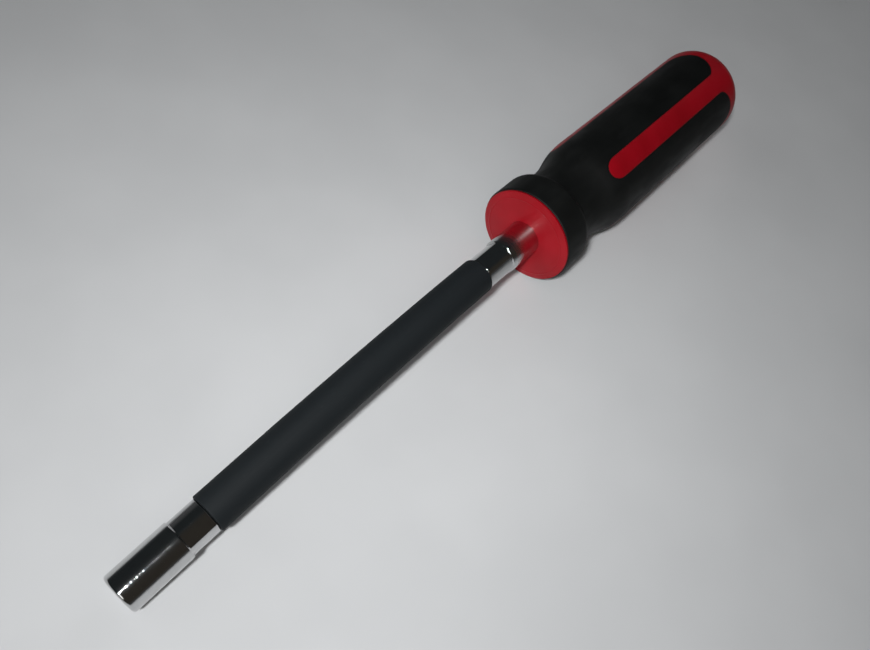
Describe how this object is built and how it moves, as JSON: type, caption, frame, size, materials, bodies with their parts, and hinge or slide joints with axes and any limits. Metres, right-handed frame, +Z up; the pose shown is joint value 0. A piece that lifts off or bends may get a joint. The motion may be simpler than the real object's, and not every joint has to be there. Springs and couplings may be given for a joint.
{
  "type": "nut driver",
  "caption": "Hand nut driver with a soft-grip handle, a flexible sleeved steel shaft that bends and springs back, and a hex socket for hose-clip screws.",
  "frame": {"origin": "on the bench under the middle of the tool as it lies, at the centre of the bottom of its box", "axes": "+X along the tool from the butt of the handle to the mouth of the socket, +Z up from the bench"},
  "size_m": [0.2576, 0.031, 0.031],
  "materials": {
    "red_plastic": "glossy moulded plastic",
    "soft_grip": "matt soft moulding",
    "plated_steel": "bright plating over turned steel",
    "wound_steel": "wound spring wire",
    "sleeve_plastic": "matt extruded tube"
  },
  "bodies": {
    "handle": {"handle_core": "red_plastic", "grip": "soft_grip", "ferrule": "plated_steel", "core_root": "wound_steel", "sleeve": "sleeve_plastic"},
    "shaft_1": {"core_link_1": "wound_steel"},
    "shaft_2": {"core_link_2": "wound_steel"},
    "shaft_3": {"core_link_3": "wound_steel"},
    "shaft_4": {"core_link_4": "wound_steel"},
    "shaft_5": {"core_link_5": "wound_steel"},
    "shaft_6": {"core_link_6": "wound_steel"},
    "shaft_7": {"core_link_7": "wound_steel"},
    "shaft_8": {"core_link_8": "wound_steel"},
    "shaft_9": {"core_link_9": "wound_steel"},
    "shaft_10": {"core_link_10": "wound_steel"},
    "shaft_11": {"core_link_11": "wound_steel"},
    "shaft_12": {"core_link_12": "wound_steel"},
    "shaft_13": {"core_link_13": "wound_steel"},
    "shaft_14": {"core_link_14": "wound_steel"},
    "socket": {"core_tip": "wound_steel", "socket": "plated_steel"}
  },
  "joints": [
    {"name": "bend_up", "type": "hinge", "parent": "handle", "child": "shaft_1", "pos_m": [0.01185, 0, 0.0155], "axis": [0, -1, 0], "range_deg": [-11.25, 11.25], "stiffness_Nm_per_rad": 5, "deforming": ["sleeve"]},
    {"name": "bend_side", "type": "hinge", "parent": "shaft_1", "child": "shaft_2", "pos_m": [0.01797, 0, 0.01539], "axis": [0.0175, 0, 0.9998], "range_deg": [-12.86, 12.86], "stiffness_Nm_per_rad": 4.4, "deforming": ["sleeve"]},
    {"name": "bend_up_2", "type": "hinge", "parent": "shaft_2", "child": "shaft_3", "pos_m": [0.02409, 0, 0.01529], "axis": [0, -1, 0], "range_deg": [-11.25, 11.25], "stiffness_Nm_per_rad": 5},
    {"name": "bend_side_2", "type": "hinge", "parent": "shaft_3", "child": "shaft_4", "pos_m": [0.03021, 0, 0.01507], "axis": [0.0351, 0, 0.9994], "range_deg": [-12.86, 12.86], "stiffness_Nm_per_rad": 4.4},
    {"name": "bend_up_3", "type": "hinge", "parent": "shaft_4", "child": "shaft_5", "pos_m": [0.03634, 0, 0.01486], "axis": [0, -1, 0], "range_deg": [-11.25, 11.25], "stiffness_Nm_per_rad": 5},
    {"name": "bend_side_3", "type": "hinge", "parent": "shaft_5", "child": "shaft_6", "pos_m": [0.04245, 0, 0.01453], "axis": [0.0526, 0, 0.9986], "range_deg": [-12.86, 12.86], "stiffness_Nm_per_rad": 4.4},
    {"name": "bend_up_4", "type": "hinge", "parent": "shaft_6", "child": "shaft_7", "pos_m": [0.04857, 0, 0.01421], "axis": [0, -1, 0], "range_deg": [-11.25, 11.25], "stiffness_Nm_per_rad": 5},
    {"name": "bend_side_4", "type": "hinge", "parent": "shaft_7", "child": "shaft_8", "pos_m": [0.05468, 0, 0.01378], "axis": [0.0701, 0, 0.9975], "range_deg": [-12.86, 12.86], "stiffness_Nm_per_rad": 4.4},
    {"name": "bend_up_5", "type": "hinge", "parent": "shaft_8", "child": "shaft_9", "pos_m": [0.06079, 0, 0.01335], "axis": [0, -1, 0], "range_deg": [-11.25, 11.25], "stiffness_Nm_per_rad": 5},
    {"name": "bend_side_5", "type": "hinge", "parent": "shaft_9", "child": "shaft_10", "pos_m": [0.06689, 0, 0.01282], "axis": [0.0876, 0, 0.9962], "range_deg": [-12.86, 12.86], "stiffness_Nm_per_rad": 4.4},
    {"name": "bend_up_6", "type": "hinge", "parent": "shaft_10", "child": "shaft_11", "pos_m": [0.07299, 0, 0.01228], "axis": [0, -1, 0], "range_deg": [-11.25, 11.25], "stiffness_Nm_per_rad": 5},
    {"name": "bend_side_6", "type": "hinge", "parent": "shaft_11", "child": "shaft_12", "pos_m": [0.07908, 0, 0.01164], "axis": [0.105, 0, 0.9945], "range_deg": [-12.86, 12.86], "stiffness_Nm_per_rad": 4.4},
    {"name": "bend_up_7", "type": "hinge", "parent": "shaft_12", "child": "shaft_13", "pos_m": [0.08517, 0, 0.01099], "axis": [0, -1, 0], "range_deg": [-11.25, 11.25], "stiffness_Nm_per_rad": 5},
    {"name": "bend_side_7", "type": "hinge", "parent": "shaft_13", "child": "shaft_14", "pos_m": [0.09125, 0, 0.01024], "axis": [0.1225, 0, 0.9925], "range_deg": [-12.86, 12.86], "stiffness_Nm_per_rad": 4.4},
    {"name": "bend_up_8", "type": "hinge", "parent": "shaft_14", "child": "socket", "pos_m": [0.09733, 0, 0.00949], "axis": [0, -1, 0], "range_deg": [-11.25, 11.25], "stiffness_Nm_per_rad": 5}
  ],
  "couplings": [
    {"joint": "bend_up_2", "follows": "bend_up", "ratio": 1},
    {"joint": "bend_side_2", "follows": "bend_side", "ratio": 1},
    {"joint": "bend_up_3", "follows": "bend_up", "ratio": 1},
    {"joint": "bend_side_3", "follows": "bend_side", "ratio": 1},
    {"joint": "bend_up_4", "follows": "bend_up", "ratio": 1},
    {"joint": "bend_side_4", "follows": "bend_side", "ratio": 1},
    {"joint": "bend_up_5", "follows": "bend_up", "ratio": 1},
    {"joint": "bend_side_5", "follows": "bend_side", "ratio": 1},
    {"joint": "bend_up_6", "follows": "bend_up", "ratio": 1},
    {"joint": "bend_side_6", "follows": "bend_side", "ratio": 1},
    {"joint": "bend_up_7", "follows": "bend_up", "ratio": 1},
    {"joint": "bend_side_7", "follows": "bend_side", "ratio": 1},
    {"joint": "bend_up_8", "follows": "bend_up", "ratio": 1}
  ]
}
